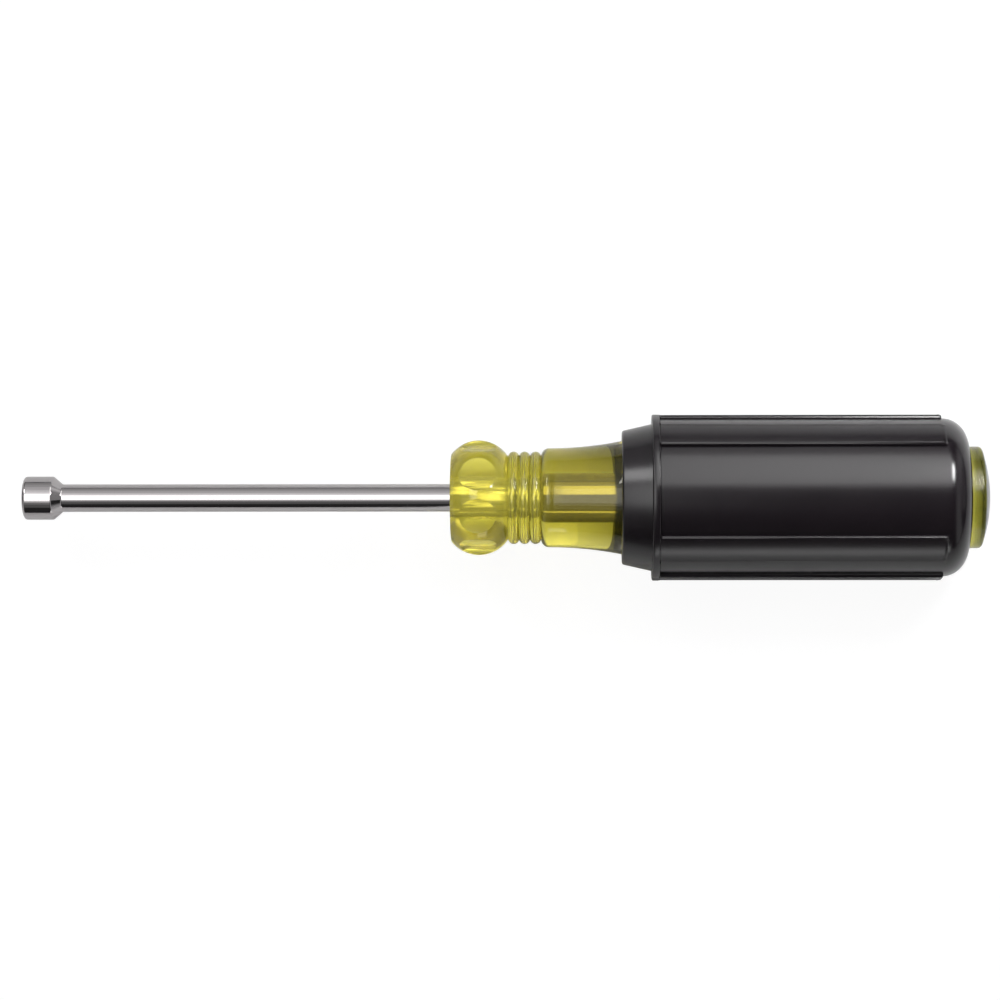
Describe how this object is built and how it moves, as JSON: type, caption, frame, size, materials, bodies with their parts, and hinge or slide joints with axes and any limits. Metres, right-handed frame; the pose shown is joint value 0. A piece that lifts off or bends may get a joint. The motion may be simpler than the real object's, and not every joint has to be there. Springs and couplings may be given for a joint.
{
  "type": "nut driver",
  "caption": "Hand nut driver: chromed hollow shaft with a hex socket, clear yellow fluted handle with a ball and rings, black ribbed cushion grip, domed size cap.",
  "frame": {"origin": "centre of the socket mouth, on the tool's axis", "axes": "+X along the tool from the socket mouth to the butt, +Z out of one wide grip panel, so the tool lies on its side"},
  "size_m": [0.1715, 0.0294, 0.0295],
  "materials": {
    "chromed_steel": "polished chrome plate",
    "yellow_acetate": "clear, polished",
    "black_vinyl": "satin moulded",
    "black_cap": "gloss"
  },
  "bodies": {
    "root": {"socket_shaft": "chromed_steel", "handle": "yellow_acetate", "cushion_grip": "black_vinyl", "size_cap": "black_cap"}
  },
  "joints": []
}
